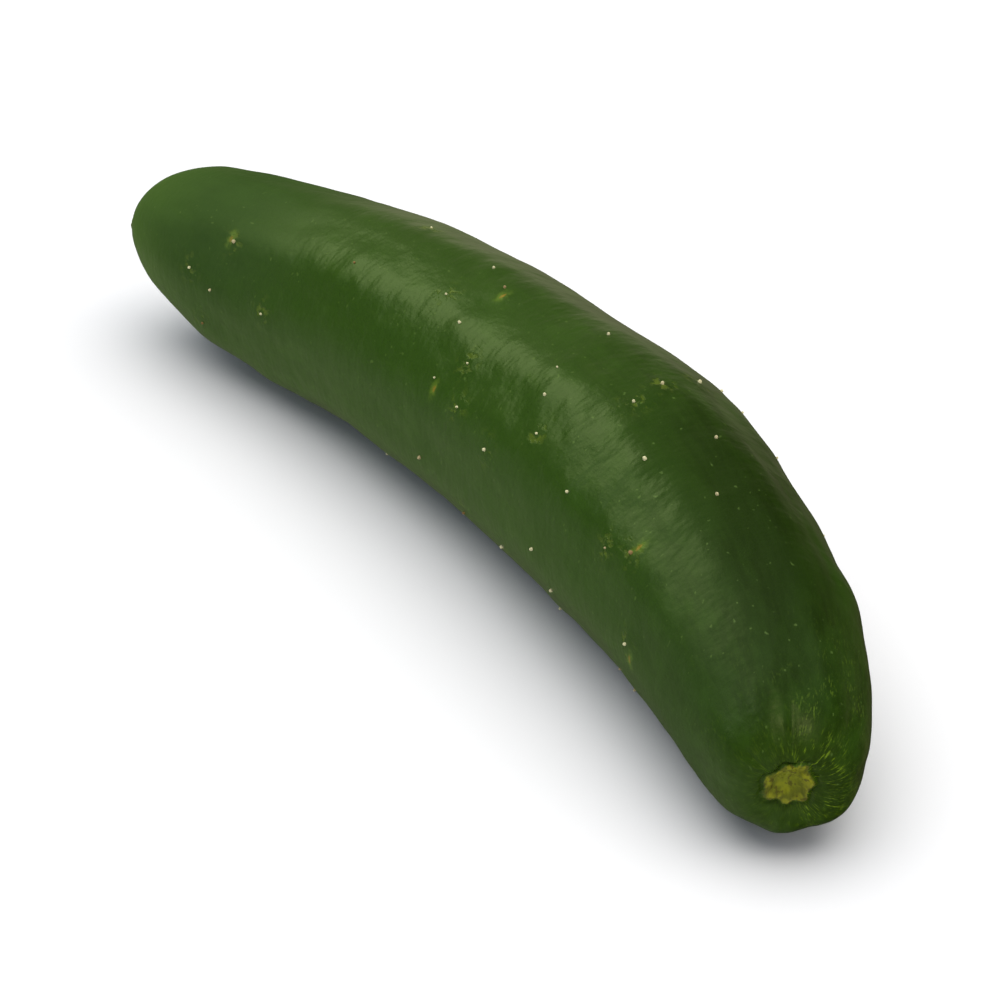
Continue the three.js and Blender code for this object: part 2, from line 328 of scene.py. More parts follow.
def lumps(points, seed):
    """A smooth random field from -1 to 1, with about one lump for each unit of distance."""
    table = np.random.default_rng(seed).uniform(-1, 1, (FIELD_SIZE,) * 3)
    base = np.floor(points).astype(int)
    t = points - base
    t = t * t * (3 - 2 * t)
    total = np.zeros(points.shape[:-1])
    for corner in np.ndindex(2, 2, 2):
        weight = np.prod(np.where(corner, t, 1 - t), axis=-1)
        i = (base + corner) % FIELD_SIZE
        total += weight * table[i[..., 0], i[..., 1], i[..., 2]]
    return total


def straightened(u, phi, radius):
    """Points of the fruit before it was bent, across first and along last."""
    return np.stack([radius * np.cos(phi), radius * np.sin(phi), u * HALF], axis=-1)


def fine_height(u, phi, radius):
    straight = straightened(u, phi, radius)
    height = sum(
        tall * lumps(straight / [across, across, along] + FIELD_START, seed)
        for tall, across, along, seed in UNEVENNESS)
    slanted = straightened(u, phi + WRINKLE_TWIST * u, radius)
    outer_side = smoothstep(np.cos(phi), OUTER_SIDE_START, OUTER_SIDE_END)
    outer_side = outer_side * smoothstep(u, OUTER_HALF_START, OUTER_HALF_END)
    wrinkles = lumps(slanted / WRINKLE_SIZES + FIELD_START, WRINKLE_SEED)
    height = height + (WRINKLE_HEIGHT + OUTER_WRINKLE_HEIGHT * outer_side) * wrinkles
    aside = (phi - FURROW_TURN) * radius / FURROW_WIDTH
    furrow = FURROW_DEPTH * np.exp(-aside**2) * smoothstep(u, FURROW_FAR, FURROW_NEAR)
    return (height - furrow) * smoothstep(radius, SMOOTH_TIP_RADIUS, ROUGH_TIP_RADIUS)


print("layers of unevenness:", len(UNEVENNESS))

# %% [markdown]
# ## Cork and puckers
#
# Cork is dead, dry tissue, so it is lumpy where the skin is smooth. Around the blossom scar
# the living skin is drawn in like the mouth of a bag, in fine radial wrinkles. Two waves
# around the scar whose counts don't divide each other give wrinkles of unequal width.

# %% Relief of the cork and of the skin drawn in towards it
CORK_FIELD_START = 30.0
CORK_FADE = 1.25
COARSE_CORK, COARSE_CORK_SIZE = 0.28, 1.1
FINE_CORK, FINE_CORK_SIZE = 0.12, 0.45
PUCKER_HEIGHT = 0.09
PUCKER_EDGE = 1.3
PUCKER_GAP = 1.0
PUCKER_END = 13.0
PUCKERS, PUCKER_SWAY, SWAYS = 17, 1.4, 3
THIN_PUCKERS, THIN_PUCKER_SHARE, THIN_PUCKER_TURN = 29, 0.6, 2.0


def cork_height(radius, phi, scar):
    flat = np.stack([radius * np.cos(phi), radius * np.sin(phi), 0 * radius], axis=-1)
    inside = 1 - smoothstep(radius, scar["radius"], CORK_FADE * scar["radius"])
    coarse = lumps(flat / COARSE_CORK_SIZE + CORK_FIELD_START, scar["cork_seed"])
    fine = lumps(flat / FINE_CORK_SIZE + CORK_FIELD_START, scar["cork_seed"] + 1)
    return (COARSE_CORK * coarse + FINE_CORK * fine) * inside


def pucker_height(radius, phi, scar):
    """Radial wrinkles drawn in towards a scar."""
    start = scar["radius"]
    rise = smoothstep(radius, start, PUCKER_EDGE * start)
    fall = 1 - smoothstep(radius, start + PUCKER_GAP, PUCKER_END)
    waves = np.sin(PUCKERS * phi + PUCKER_SWAY * np.sin(SWAYS * phi))
    waves = waves + THIN_PUCKER_SHARE * np.sin(THIN_PUCKERS * phi + THIN_PUCKER_TURN)
    return PUCKER_HEIGHT * waves * rise * fall


print("puckers round the scar:", PUCKERS, "and", THIN_PUCKERS)

# %% [markdown]
# ## Rings of the skin mesh
#
# The skin is a grid of rings around the centreline, closed by one point at each tip. The
# rings are close together inside the scars, where the cork has small lumps, and wider along
# the barrel. They are spaced by the distance travelled over the skin, and not along the axis,
# so that the blunt tips get as many as they need.

# %% Stations of the rings
AROUND = 240
BODY_SPACING = 0.74
SCAR_SPACING = 0.16
SCAR_ZONE = 7.0
TRAVEL_SAMPLES = 4000
TIP_CROWDING = 6


def ring_stations():
    """Stations and distances from the nearer tip, spaced by distance over the skin."""
    near = HALF * np.linspace(0, 1, TRAVEL_SAMPLES) ** TIP_CROWDING
    stem_radii = radius_at(near / HALF - 1, from_stem=near)
    blossom_radii = radius_at(1 - near / HALF, from_blossom=near)
    rings = []
    for radii, side in ((stem_radii, -1), (blossom_radii, 1)):
        travel = np.concatenate([[0], np.cumsum(np.hypot(np.diff(near), np.diff(radii)))])
        marks = [SCAR_SPACING]
        while marks[-1] < travel[-1]:
            open_out = min(1, max(0, (marks[-1] - SCAR_ZONE) / SCAR_ZONE))
            marks.append(marks[-1] + SCAR_SPACING + (BODY_SPACING - SCAR_SPACING) * open_out)
        marks = np.array(marks[:-1])
        marks *= travel[-1] / (marks[-1] + BODY_SPACING / 2)
        distance = np.interp(marks, travel, near)
        rings.append([(side * (1 - d / HALF), d) for d in distance])
    stem_side, blossom_side = rings
    return stem_side + blossom_side[::-1]


stations = ring_stations()
print("rings:", len(stations))

# %% [markdown]
# ## From the rings to points
#
# Each point starts on the round barrel. The relief moves it outwards from the axis, the
# scars move it along the axis, and then the bend and the height of the axis carry it to its
# place. The blossom tip is drawn up and to one side, because its scar looks a little upwards.
# Last, the whole skin is moved so that its middle lies over the middle of the solid.

# %% Points of the skin
MOUND_HEIGHT = 0.2
MOUND_RADIUS = 3.0
RELIEF_RADIUS = 3.0
SCAR_LIFT = 2.7
SCAR_SIDE = -0.7
SCAR_DRAW_REACH = 11.0


def skin_points(u, phi, radius):
    """Points of the skin in millimetres, before they are moved into the frame."""
    relief = rib_height(u, phi, radius) + fine_height(u, phi, radius)
    for u0, degrees, height, along, around in SWELLS:
        relief = relief + height * bump(u, phi, u0, math.radians(degrees), along, around)
    for u0, phi0 in spines:
        relief = relief + MOUND_HEIGHT * bump(u, phi, u0, phi0, MOUND_RADIUS, MOUND_RADIUS)
    relief = relief + np.where(u > 0, pucker_height(radius, phi, BLOSSOM_SCAR), 0)
    blossom, stem = (
        scar_height(radius, phi, scar) + cork_height(radius, phi, scar)
        for scar in (BLOSSOM_SCAR, STEM_SCAR))
    outwards = np.where(u > 0, blossom, -stem)
    reach = np.where(radius > 0, radius + relief * smoothstep(radius, 0, RELIEF_RADIUS), 0)
    drawn = np.where(u > 0, np.maximum(0, 1 - radius / SCAR_DRAW_REACH) ** 2, 0)
    direction = heading(u) - chord_angle
    aside = reach * np.cos(phi) + SCAR_SIDE * drawn
    x = np.interp(u, walk_stations, walk[0])
    y = np.interp(u, walk_stations, walk[1])
    x = x - np.sin(direction) * aside + np.cos(direction) * outwards
    y = y + np.cos(direction) * aside + np.sin(direction) * outwards
    z = axis_height(u) + SCAR_LIFT * drawn + reach * np.sin(phi)
    return np.stack([x, y, np.maximum(0, z)], axis=-1)


ring_u = np.array([u for u, tip in stations])
ring_tip = np.array([tip for u, tip in stations])
stem_gap = np.where(ring_u < 0, ring_tip, (1 + ring_u) * HALF)
blossom_gap = np.where(ring_u > 0, ring_tip, (1 - ring_u) * HALF)
turns = np.linspace(0, 2 * math.pi, AROUND, endpoint=False)
grid_u, grid_phi = np.meshgrid(ring_u, turns, indexing="ij")
grid_radius = np.repeat(radius_at(ring_u, stem_gap, blossom_gap)[:, None], AROUND, axis=1)
grid = skin_points(grid_u, grid_phi, grid_radius)
tips = skin_points(np.array([-1.0, 1.0]), np.zeros(2), np.zeros(2))
points = np.concatenate([grid.reshape(-1, 3), tips])
middle = (points.max(axis=0) + points.min(axis=0)) / 2
shift = np.array([
    1000 * (low.x + high.x) / 2 - middle[0], 1000 * (low.y + high.y) / 2 - middle[1], 0])
points = (points + shift) / 1000
print("skin points:", len(points))

# %% [markdown]
# ## The skin mesh
#
# The points become one closed mesh: four-sided faces between the rings, and a fan of
# triangles at each tip. Smooth shading hides the faces, and all the relief that is wider
# than a face still bends the light.

# %% The skin as a mesh


def grid_faces(rings, around, first_tip, last_tip):
    faces = []
    for ring in range(rings - 1):
        row = ring * around
        for i in range(around):
            j = (i + 1) % around
            faces.append((row + i, row + around + i, row + around + j, row + j))
    last = (rings - 1) * around
    for i in range(around):
        j = (i + 1) % around
        faces.append((first_tip, i, j))
        faces.append((last_tip, last + j, last + i))
    return faces


def mesh_object(name, points, faces):
    mesh = bpy.data.meshes.new(name)
    mesh.from_pydata(points, [], faces)
    mesh.validate()
    piece = bpy.data.objects.new(name, mesh)
    bpy.context.collection.objects.link(piece)
    return piece, mesh


rings = len(stations)
skin_faces = grid_faces(rings, AROUND, rings * AROUND, rings * AROUND + 1)
skin, skin_mesh = mesh_object("cucumber_skin", points.tolist(), skin_faces)
skin_mesh.shade_smooth()
print("skin triangles:", sum(len(face.vertices) - 2 for face in skin_mesh.polygons))

# %% [markdown]
# ## Where each point lies on the fruit
#
# The markings of a real skin follow its growth: streaks run along the bend and rays run out
# from the scar. Texture coordinates of the finished mesh wouldn't know about either. So each
# point keeps its place on the straight fruit, its distance from both tips, and its place in
# a fan around the blossom tip, as named attributes that the materials read.

# %% Places stored on the mesh
FAR = 200.0


def store(mesh, name, kind, values):
    attribute = mesh.attributes.new(name, kind, "POINT")
    field = "vector" if kind == "FLOAT_VECTOR" else "value"
    attribute.data.foreach_set(field, np.asarray(values, np.float32).ravel())


def with_tips(values, stem_value, blossom_value):
    flat = values.reshape(-1, *values.shape[2:])
    return np.concatenate([flat, [stem_value], [blossom_value]])


across, upward = np.cos(grid_phi), np.sin(grid_phi)
straight = np.stack([grid_u * HALF, grid_radius * across, grid_radius * upward], axis=-1)
from_blossom = np.where(grid_u > 0, grid_radius + (1 - grid_u) * HALF, FAR)
from_stem = np.where(grid_u < 0, grid_radius + (1 + grid_u) * HALF, FAR)
fan = np.stack([across, upward, from_blossom], axis=-1)
scar_edge = np.where(
    grid_u > 0, scar_reach(grid_radius, grid_phi, BLOSSOM_SCAR),
    scar_reach(grid_radius, grid_phi, STEM_SCAR))
store(skin_mesh, "straight_mm", "FLOAT_VECTOR", with_tips(straight, (-HALF, 0, 0), (HALF, 0, 0)))
store(skin_mesh, "blossom_fan", "FLOAT_VECTOR", with_tips(fan, (1, 0, FAR), (1, 0, 0)))
store(skin_mesh, "blossom_mm", "FLOAT", with_tips(from_blossom, FAR, 0))
store(skin_mesh, "stem_mm", "FLOAT", with_tips(from_stem, 0, FAR))
store(skin_mesh, "scar_reach", "FLOAT", with_tips(scar_edge, 0, 0))
print("attributes:", [attribute.name for attribute in skin_mesh.attributes])

# %% [markdown]
# ## Halos and scuffs
#
# The skin is paler round about half of the spines, where it grew thin over the mound. Where
# a spine was rubbed off against another fruit, a small orange-yellow scuff stays beside it.
# Both are kept as a value from 0 to 1 on each point, and the shader turns them into colour.

# %% Marks round some of the spines
HALO_SEED, SCUFF_SEED = 5, 6
HALO_SHARE = 0.5
HALO_REACH = 2.3
SCUFF_SHARE = 0.12
SCUFF_ALONG, SCUFF_AROUND = 1.0, 1.8
SCUFF_STRAY = 2.5
halo, scuff = np.zeros_like(grid_u), np.zeros_like(grid_u)
halo_draw = np.random.default_rng(HALO_SEED).random(len(spines))
scuff_draw = np.random.default_rng(SCUFF_SEED)
for (u0, phi0), halo_chance in zip(spines, halo_draw):
    if halo_chance < HALO_SHARE:
        halo = np.maximum(halo, bump(grid_u, grid_phi, u0, phi0, HALO_REACH, HALO_REACH))
    chance, along, aside = scuff_draw.random(3)
    if chance < SCUFF_SHARE:
        scuff_u = u0 + (2 * along - 1) * SCUFF_STRAY / HALF
        scuff_phi = phi0 + (2 * aside - 1) * SCUFF_STRAY / STRAY_RADIUS
        mark = bump(grid_u, grid_phi, scuff_u, scuff_phi, SCUFF_ALONG, SCUFF_AROUND)
        scuff = np.maximum(scuff, mark)
store(skin_mesh, "spine_halo", "FLOAT", with_tips(halo, 0, 0))
store(skin_mesh, "scuff", "FLOAT", with_tips(scuff, 0, 0))
print("share of the skin in a halo:", round(float((halo > 0.5).mean()), 3))

# %% [markdown]
# ## Spine tips
#
# The young fruit is prickly. On the picked fruit only the dry, broken tips are left, each a
# pale dot about half a millimetre across. They could be painted, but a small stub catches
# the light and throws a small shadow, so each is a low ten-sided stub set into its mound.
# No two have broken off at the same height, so each has a size of its own.

# %% Build the spine tips
TIP_SIDES = 10
# Radius and height of each level in millimetres, from the sunken foot to the broken top.
TIP_PROFILE = [(0.34, -0.3), (0.25, 0.1), (0.2, 0.28), (0.1, 0.35)]
TIP_SIZES = (0.7, 1.35)
SIZE_SEED, DRYNESS_SEED = 7, 8
TABLE_GAP = 0.0015


def spine_frame(u, phi):
    """A point of the skin, and the way outwards there."""
    u, phi = np.array([u]), np.array([phi])
    point = (skin_points(u, phi, radius_at(u))[0] + shift) / 1000
    direction = float(heading(u)[0]) - chord_angle
    side = Vector((-math.sin(direction), math.cos(direction), 0))
    out = side * math.cos(phi[0]) + Vector((0, 0, math.sin(phi[0])))
    return Vector(point), out


tip_points, tip_faces, tip_dryness = [], [], []
size_draw = np.random.default_rng(SIZE_SEED).uniform(*TIP_SIZES, len(spines))
dry_draw = np.random.default_rng(DRYNESS_SEED).random(len(spines))
for (u0, phi0), size, dryness in zip(spines, size_draw, dry_draw):
    foot, out = spine_frame(u0, phi0)
    if foot.z < TABLE_GAP:
        continue
    turn = out.to_track_quat("Z", "Y")
    start = len(tip_points)
    for width, height in TIP_PROFILE:
        for i in range(TIP_SIDES):
            angle = 2 * math.pi * i / TIP_SIDES
            local = Vector((width * math.cos(angle), width * math.sin(angle), height))
            tip_points.append(foot + turn @ (local * (float(size) / 1000)))
            tip_dryness.append(dryness)
    for level in range(len(TIP_PROFILE) - 1):
        row = start + level * TIP_SIDES
        for i in range(TIP_SIDES):
            j = (i + 1) % TIP_SIDES
            tip_faces.append((row + i, row + j, row + TIP_SIDES + j, row + TIP_SIDES + i))
    tip_faces.append(tuple(start + i for i in reversed(range(TIP_SIDES))))
    top = start + (len(TIP_PROFILE) - 1) * TIP_SIDES
    tip_faces.append(tuple(top + i for i in range(TIP_SIDES)))

spine_tips, tip_mesh = mesh_object("spine_tips", tip_points, tip_faces)
tip_mesh.shade_smooth()
store(tip_mesh, "dryness", "FLOAT", tip_dryness)
print("spine tip faces:", len(tip_faces))

# %% [markdown]
# ## Waxy skin
#
# Cucumber skin is a thin layer of dark green cells under a natural wax, which makes it
# semi-gloss. One shader holds all of it: first the random patterns, then the masks made from
# them, then the colours laid over each other, and last the wax. Colours are sRGB hex values,
# as a colour chart gives them, and one function turns them into the linear values that
# Blender works with. Another adds a node with its settings and its links in one line.

# %% Helpers for materials
# The curve of sRGB: straight below the knee, and a power above it.
SRGB_KNEE, SRGB_SLOPE, SRGB_OFFSET, SRGB_POWER = 0.04045, 12.92, 0.055, 2.4


def linear(code):
    """An sRGB hex colour as a linear colour with full opacity."""
    shares = [int(code[i:i + 2], 16) / 255 for i in (1, 3, 5)]
    return [
        share / SRGB_SLOPE if share <= SRGB_KNEE
        else ((share + SRGB_OFFSET) / (1 + SRGB_OFFSET)) ** SRGB_POWER
        for share in shares] + [1]


def add(tree, kind, inputs, output=0, **settings):
    """Adds a node and gives one of its outputs. An input is a value or a node's output."""
    node = tree.nodes.new(kind)
    for name, value in settings.items():
        setattr(node, name, value)
    for socket, value in inputs.items():
        if isinstance(value, bpy.types.NodeSocket):
            tree.links.new(value, node.inputs[socket])
        else:
            node.inputs[socket].default_value = value
    return node.outputs[output] if len(node.outputs) else node


def new_material(name):
    material = bpy.data.materials.new(name)
    material.use_nodes = True
    material.node_tree.nodes.clear()
    return material, material.node_tree


print("mid grey as a linear value:", round(linear("#808080")[0], 3))

# %% [markdown]
# ## Random patterns
#
# All the markings of the real skin come from a few kinds of growth: cells in lengthways
# rows, patches that had more or less sun, a net of fine cracks, pores, and rays out of the
# scar. Each is a noise stretched to the size of its cells in millimetres. Real pores are
# about 0.1 mm wide, which is finer than the render can show, so they are drawn coarser.

# %% Noise for each kind of marking
NOISE_ROUGHNESS = 0.55
waxy_skin, tree = new_material("waxy_cucumber_skin")
place = add(tree, "ShaderNodeAttribute", {}, "Vector", attribute_name="straight_mm")
fan_place = add(tree, "ShaderNodeAttribute", {}, "Vector", attribute_name="blossom_fan")

# Name: what it follows, size of a cell in millimetres along it and around it, detail, seed.
# Around the fan, a cell's size is a share of its distance from the axis.
PATTERNS = {
    "grain": (place, (14.0, 0.9, 0.9), 3, 1.0),
    "patches": (place, (26.0, 9.0, 9.0), 3, 5.0),
    "net": (place, (1.8, 1.3, 1.3), 3, 9.0),
    "blush": (place, (11.0, 6.0, 6.0), 2, 12.0),
    "cork_grain": (place, (0.7, 0.7, 0.7), 4, 13.0),
    "cork_patches": (place, (1.3, 1.3, 1.3), 3, 14.0),
    "ripples": (place, (3.6, 6.0, 6.0), 2, 16.0),
    "weave": (place, (0.9, 1.8, 1.8), 3, 17.0),
    "pores": (place, (0.9, 0.7, 0.7), 4, 19.0),
    "rays": (fan_place, (1 / 26, 1 / 26, 2.6), 2, 23.0),
    "dashes": (fan_place, (1 / 44, 1 / 44, 1.3), 1, 29.0),
    "clusters": (place, (9.0, 6.0, 6.0), 1, 31.0),
    "specks": (place, (0.8, 0.8, 0.8), 0, 37.0),
}
pattern = {}
for name, (source, size, detail, seed) in PATTERNS.items():
    scaled = add(tree, "ShaderNodeMapping", {
        "Vector": source, "Scale": [1 / s for s in size], "Location": (seed, 2 * seed, 3 * seed)})
    pattern[name] = add(tree, "ShaderNodeTexNoise", {
        "Vector": scaled, "Scale": 1.0, "Detail": detail, "Roughness": NOISE_ROUGHNESS}, "Fac")
print("patterns:", len(pattern))

# %% [markdown]
# ## Masks
#
# A mask says where a colour lies and how strongly: 0 leaves what is under it, 1 covers it.
# Most masks cut a pattern at two levels. Some read a distance instead, such as the lighter
# green near the stem. Two of them are painted shade: the outer side and the blossom half
# are painted darker, and a patch on the shoulder of the blossom half is the darkest of all.
# Where two conditions must hold at once, two masks are multiplied.

# %% Where each colour lies
# Painted shade grows stronger towards the blossom end and towards the outer side.
SIDE_SHADE_WAY = (0.5 / HALF, 0.5 / float(BARREL_RADII.max()), 0.0)
# The middle of the darkest painted shade, and how fast it fades along, across and upwards.
DARKEST_SHADE_MIDDLE = (71.0, 3.0, 18.0)
DARKEST_SHADE_REACH = (1 / 46, 1 / 14, 1 / 20)
EDGE_WOBBLE = 0.35
measured = {}
for name in ("blossom_mm", "stem_mm", "scar_reach", "spine_halo", "scuff"):
    measured[name] = add(tree, "ShaderNodeAttribute", {}, "Fac", attribute_name=name)
# Painted shade: how far a point lies towards the blossom end and the outer side.
side_shade = add(tree, "ShaderNodeVectorMath", {0: place, 1: SIDE_SHADE_WAY}, "Value",
                operation="DOT_PRODUCT")
fan_side = add(tree, "ShaderNodeSeparateXYZ", {"Vector": fan_place}, "X")
height_over_axis = add(tree, "ShaderNodeSeparateXYZ", {"Vector": place}, "Z")
# Painted shade: how far a point lies from the middle of the darkest patch.
darkest_shade_place = add(tree, "ShaderNodeMapping", {
    "Vector": place, "Location": [-m * r for m, r in zip(DARKEST_SHADE_MIDDLE, DARKEST_SHADE_REACH)],
    "Scale": DARKEST_SHADE_REACH})
from_darkest_shade = add(tree, "ShaderNodeVectorMath", {0: darkest_shade_place}, "Value", operation="LENGTH")
uneven_edge = add(tree, "ShaderNodeMath", {
    0: pattern["cork_grain"], 1: EDGE_WOBBLE, 2: measured["scar_reach"]},
    operation="MULTIPLY_ADD")

# Name: what it reads, where it starts and ends, and its value at the start and at the end.
MASKS = {
    # Painted shade: darker towards the outer side and the blossom half.
    "painted_side_shade": (side_shade, -0.45, 0.6, 0.0, 1.0),
    # Painted shade: the darkest patch, on the shoulder of the blossom half.
    "painted_darkest_shade": (from_darkest_shade, 0.1, 1.2, 0.6, 0.0),
    "grain": (pattern["grain"], 0.35, 0.7, 0.0, 0.35),
    "patches": (pattern["patches"], 0.38, 0.68, 0.0, 0.5),
    "net": (pattern["net"], 0.5, 0.64, 0.0, 0.65),
    "blush": (pattern["blush"], 0.5, 0.7, 0.0, 0.35),
    "specks": (pattern["specks"], 0.78, 0.86, 0.0, 0.5),
    "rays": (pattern["rays"], 0.58, 0.7, 0.0, 1.0),
    "dashes": (pattern["dashes"], 0.56, 0.68, 0.0, 0.8),
    "scuffs": (measured["scuff"], 0.05, 0.75, 0.0, 0.8),
    "scuff_middles": (measured["scuff"], 0.72, 0.95, 0.0, 0.85),
    "clusters": (pattern["clusters"], 0.42, 0.62, 0.1, 1.0),
    "patchy": (pattern["net"], 0.4, 0.55, 0.25, 1.0),
    "ray_zone": (measured["blossom_mm"], 4.5, 16.0, 0.9, 0.0),
    "dash_zone": (measured["blossom_mm"], 6.0, 46.0, 0.9, 0.0),
    "stem_zone": (measured["stem_mm"], 0.0, 45.0, 0.85, 0.0),
    "blossom_zone": (measured["blossom_mm"], 3.0, 18.0, 0.15, 0.0),
    "worn": (measured["blossom_mm"], 25.0, 80.0, 0.16, 0.0),
    "beyond_tip": (measured["blossom_mm"], 15.0, 27.0, 0.0, 1.0),
    "dull_stem": (measured["stem_mm"], 38.0, 88.0, 0.4, 0.0),
    "upper_side": (height_over_axis, -2.0, 9.0, 0.0, 1.0),
    "shoulder": (fan_side, -0.3, 0.7, 0.25, 1.0),
    "cork": (uneven_edge, 1.08, 1.2, 1.0, 0.0),
    "cork_middle": (uneven_edge, 0.45, 0.95, 0.6, 0.0),
    "cork_patches": (pattern["cork_patches"], 0.4, 0.62, 0.0, 1.0),
    "crevices": (pattern["cork_grain"], 0.38, 0.46, 0.8, 0.0),
}
mask = {"near_spine": measured["spine_halo"]}
for name, (source, start, end, first, last) in MASKS.items():
    mask[name] = add(tree, "ShaderNodeMapRange", {
        "Value": source, "From Min": start, "From Max": end, "To Min": first, "To Max": last},
        interpolation_type="SMOOTHSTEP")

# Each of these masks lies only where the others allow it.
LIMITS = {
    "net": ("near_spine",),
    "rays": ("ray_zone", "shoulder"),
    "dashes": ("dash_zone", "clusters", "shoulder"),
    "dull_stem": ("upper_side",),
    "worn": ("beyond_tip",),
    "scuffs": ("patchy",),
}
for name, others in LIMITS.items():
    for other in others:
        mask[name] = add(tree, "ShaderNodeMath", {0: mask[name], 1: mask[other]},
                         operation="MULTIPLY")
print("masks:", len(mask))

# %% [markdown]
# ## Colours
#
# The greens of the real skin are layers: chlorophyll, with pale scratches and corky flecks
# on top of it. The shader does the same, and also lays two coats of painted shade, darker
# towards the outer side and the blossom half. It starts with one leaf green and lays each
# coat over the last, through its mask. The cork of the scars is a second, dry set of coats,
# and the cork mask chooses between the two.

# %% Coats laid over each other
LEAF_GREEN = "#2b480b"
COATS = [
    # Painted shade, darker towards the outer side and the blossom half.
    ("painted_side_shade", "#1d3203"),
    ("grain", "#304c0c"),
    ("patches", "#2b490a"),
    ("blush", "#33520f"),
    # Painted shade, darkest on the shoulder of the blossom half.
    ("painted_darkest_shade", "#141f03"),
    ("stem_zone", "#446616"),
    ("blossom_zone", "#4c6206"),
    ("specks", "#56702e"),
    ("net", "#62741c"),
    ("scuffs", "#56701a"),
    ("scuff_middles", "#8f7420"),
    ("dashes", "#5f7a14"),
    ("rays", "#728e08"),
]
CORK_OLIVE = "#575c02"
CORK_COATS = [
    ("cork_patches", "#7d7f04"),
    ("cork_middle", "#7e8602"),
    ("crevices", "#4c4802"),
]
# Sockets of a Mix node that mixes colours. Several share a name, so they go by number.
MIX_FACTOR, MIX_UNDER, MIX_OVER, MIX_RESULT = 0, 6, 7, 2


def lay_over(tree, under, coats):
    """Lays coats over a colour. Each is how much of it shows, and its own colour."""
    for share, coat in coats:
        under = add(tree, "ShaderNodeMix", {
            MIX_FACTOR: share, MIX_UNDER: under, MIX_OVER: coat},
            MIX_RESULT, data_type="RGBA")
    return under


green, cork_colour = (
    lay_over(tree, linear(base), [(mask[name], linear(code)) for name, code in coats])
    for base, coats in ((LEAF_GREEN, COATS), (CORK_OLIVE, CORK_COATS)))
colour = lay_over(tree, green, [(mask["cork"], cork_colour)])
print("coats:", len(COATS) + len(CORK_COATS))

# %% [markdown]
# ## Wax
#
# The wax is a film that the plant itself lays down. It is thin, so the light on it is soft
# and broken up by what lies below: pores, ripples across the fruit, a weave of fine creases
# and the warts round the spines. Each is a bump on top of the last. The wax is duller on top
# of the stem half, where hands held the fruit, and a little rubbed on the blossom half. Cork
# has no wax, so it is matte.

# %% Wax over the colours
# Plant wax bends light a little less than glass does, and is smooth but never polished.
WAX_IOR = 1.44
WAX_ROUGHNESS = 0.3
CORK_ROUGHNESS = 0.8
# What it follows, strength, height in metres.
BUMPS = [
    (pattern["pores"], 0.3, 0.00015),
    (pattern["ripples"], 0.4, 0.0007),
    (pattern["weave"], 0.18, 0.0002),
    (mask["net"], 0.6, 0.0003),
]
wax_surface = {}
for height, strength, distance in BUMPS:
    wax_surface = {"Normal": add(tree, "ShaderNodeBump", {
        "Height": height, "Strength": strength, "Distance": distance, **wax_surface})}
rubbed = add(tree, "ShaderNodeMath", {0: mask["worn"], 1: mask["dull_stem"]})
wax_roughness = add(tree, "ShaderNodeMath", {0: rubbed, 1: WAX_ROUGHNESS})
roughness = add(tree, "ShaderNodeMapRange", {
    "Value": mask["cork"], "To Min": wax_roughness, "To Max": CORK_ROUGHNESS})
shader = add(tree, "ShaderNodeBsdfPrincipled", {
    "Base Color": colour, "Roughness": roughness, "IOR": WAX_IOR, **wax_surface})
add(tree, "ShaderNodeOutputMaterial", {"Surface": shader})
skin_mesh.materials.append(waxy_skin)
print("nodes in the skin:", len(tree.nodes))

# %% [markdown]
# ## Dry spine tips
#
# A broken spine is dry plant fibre, matte and straw-coloured, and the older ones have turned
# brown. Each stub carries its own dryness from the random draw, and the colour follows it.

# %% Straw and brown
FRESH_STRAW, OLD_BROWN = "#d8d2a4", "#8a6a3a"
BROWN_START, BROWN_END = 0.45, 0.9
# Dry cellulose bends light about as glass does, and its torn fibres leave no gloss.
FIBRE_IOR = 1.5
FIBRE_ROUGHNESS = 0.7
dry_spine, tree = new_material("dry_spine_tip")
dryness = add(tree, "ShaderNodeAttribute", {}, "Fac", attribute_name="dryness")
brown_share = add(tree, "ShaderNodeMapRange", {
    "Value": dryness, "From Min": BROWN_START, "From Max": BROWN_END})
tip_colour = lay_over(tree, linear(FRESH_STRAW), [(brown_share, linear(OLD_BROWN))])
shader = add(tree, "ShaderNodeBsdfPrincipled", {
    "Base Color": tip_colour, "Roughness": FIBRE_ROUGHNESS, "IOR": FIBRE_IOR})
add(tree, "ShaderNodeOutputMaterial", {"Surface": shader})
tip_mesh.materials.append(dry_spine)
print("nodes in the tips:", len(tree.nodes))

# %% [markdown]
#
# Both pieces stand for the one plain solid: the frame then hides it and keeps it for
# collision. They move with its body.

# %% Each piece stands for the plain solid and moves with it
for piece, slot in ((skin, "skin"), (spine_tips, "spine_tips")):
    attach(piece, "root")
    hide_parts("cucumber")
print("pieces:", skin.name, spine_tips.name)

# %% [markdown]
# ## Table
#
# The fruit lies on plain white card, which is pressed paper pulp: its loose fibres scatter
# the light, so it is matte and takes a soft shadow. It is left out of the gloss, because the
# next step puts a softer glow in its place.

# %% Table
FLOOR_SIDE = 12.0
CARD_WHITE = "#f4f4f4"
CARD_ROUGHNESS = 0.9
CARD_SPECULAR = 0.1
corner = FLOOR_SIDE / 2
table, floor_mesh = mesh_object(
    "table",
    [(-corner, -corner, 0), (corner, -corner, 0), (corner, corner, 0), (-corner, corner, 0)],
    [(0, 1, 2, 3)])
matte_white, tree = new_material("matte_white_card")
shader = add(tree, "ShaderNodeBsdfPrincipled", {
    "Base Color": linear(CARD_WHITE), "Roughness": CARD_ROUGHNESS,
    "Specular IOR Level": CARD_SPECULAR})
add(tree, "ShaderNodeOutputMaterial", {"Surface": shader})
floor_mesh.materials.append(matte_white)
table.visible_glossy = False
print("side of the table, m:", FLOOR_SIDE)

